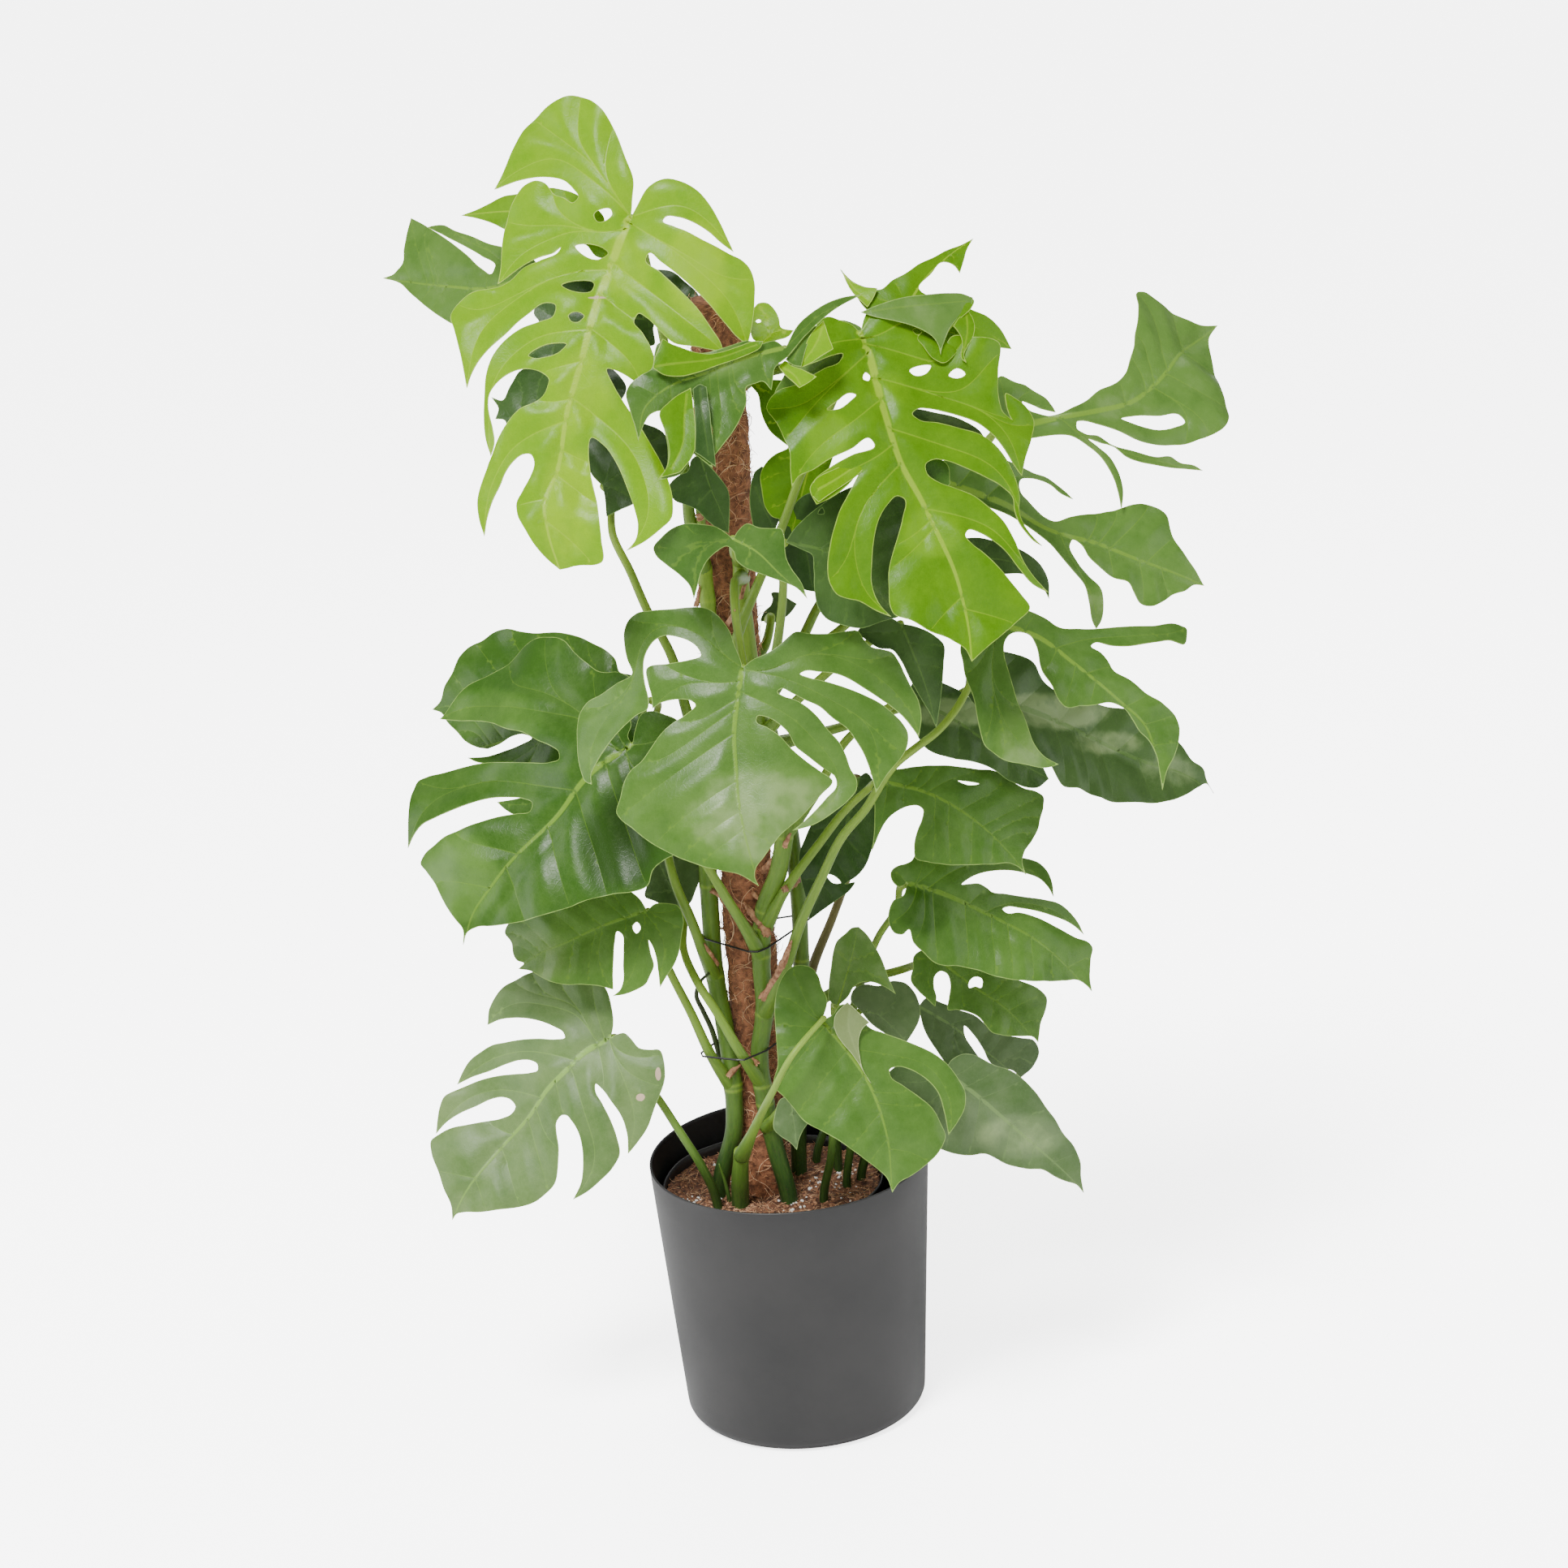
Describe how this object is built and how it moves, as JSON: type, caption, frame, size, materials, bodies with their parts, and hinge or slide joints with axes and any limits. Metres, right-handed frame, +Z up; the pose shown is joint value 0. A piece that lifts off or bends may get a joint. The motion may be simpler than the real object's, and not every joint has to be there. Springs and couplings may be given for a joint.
{
  "type": "potted swiss cheese plant",
  "caption": "Tall leafy houseplant with large split and holed leaves on long stalks, climbing a coir pole in a round tapered dark pot filled with soil.",
  "frame": {"origin": "centre of the pot's round underside", "axes": "+Z up, along the pot's axis; the side shown in the picture faces -Y"},
  "size_m": [0.9039, 0.5847, 1.4528],
  "materials": {
    "pot": "matte dark grey",
    "liner": "black plastic film",
    "soil": "loose coir and peat mix",
    "coir": "matted coconut fibre",
    "wire": "black coated wire",
    "stem": "smooth green stem",
    "young_leaf": "glossy yellow-green leaf",
    "fresh_leaf": "glossy bright green leaf",
    "leaf": "glossy green leaf",
    "dark_leaf": "glossy dark green leaf",
    "grey_leaf": "dull grey-green leaf"
  },
  "bodies": {
    "root": {"pot": "pot", "nursery_pot": "liner", "soil": "soil", "coir_pole": "coir", "tie_upper": "wire", "tie_lower": "wire", "stem_front": "stem", "stem_left": "stem", "stem_short": "stem", "stem_back": "stem", "shoot_left": "stem", "shoot_middle": "stem", "shoot_grey": "stem", "shoot_tall": "stem", "shoot_back": "stem", "shoot_right": "stem", "leaf_01": "young_leaf", "leaf_02": "leaf", "leaf_03": "dark_leaf", "leaf_04": "fresh_leaf", "leaf_05": "leaf", "leaf_06": "fresh_leaf", "leaf_07": "leaf", "leaf_08": "leaf", "leaf_09": "dark_leaf", "leaf_10": "leaf", "leaf_11": "dark_leaf", "leaf_12": "dark_leaf", "leaf_13": "leaf", "leaf_14": "leaf", "leaf_15": "leaf", "leaf_16": "leaf", "leaf_17": "grey_leaf", "leaf_18": "grey_leaf", "leaf_19": "leaf", "leaf_20": "leaf", "leaf_21": "grey_leaf", "leaf_22": "leaf", "leaf_23": "leaf", "leaf_24": "leaf", "leaf_25": "grey_leaf", "leaf_26": "grey_leaf", "leaf_27": "dark_leaf", "leaf_28": "leaf", "leaf_29": "dark_leaf", "leaf_30": "dark_leaf", "leaf_31": "fresh_leaf", "leaf_32": "dark_leaf", "leaf_33": "young_leaf", "leaf_34": "grey_leaf", "leaf_35": "fresh_leaf", "leaf_36": "dark_leaf", "leaf_37": "grey_leaf"}
  },
  "joints": []
}
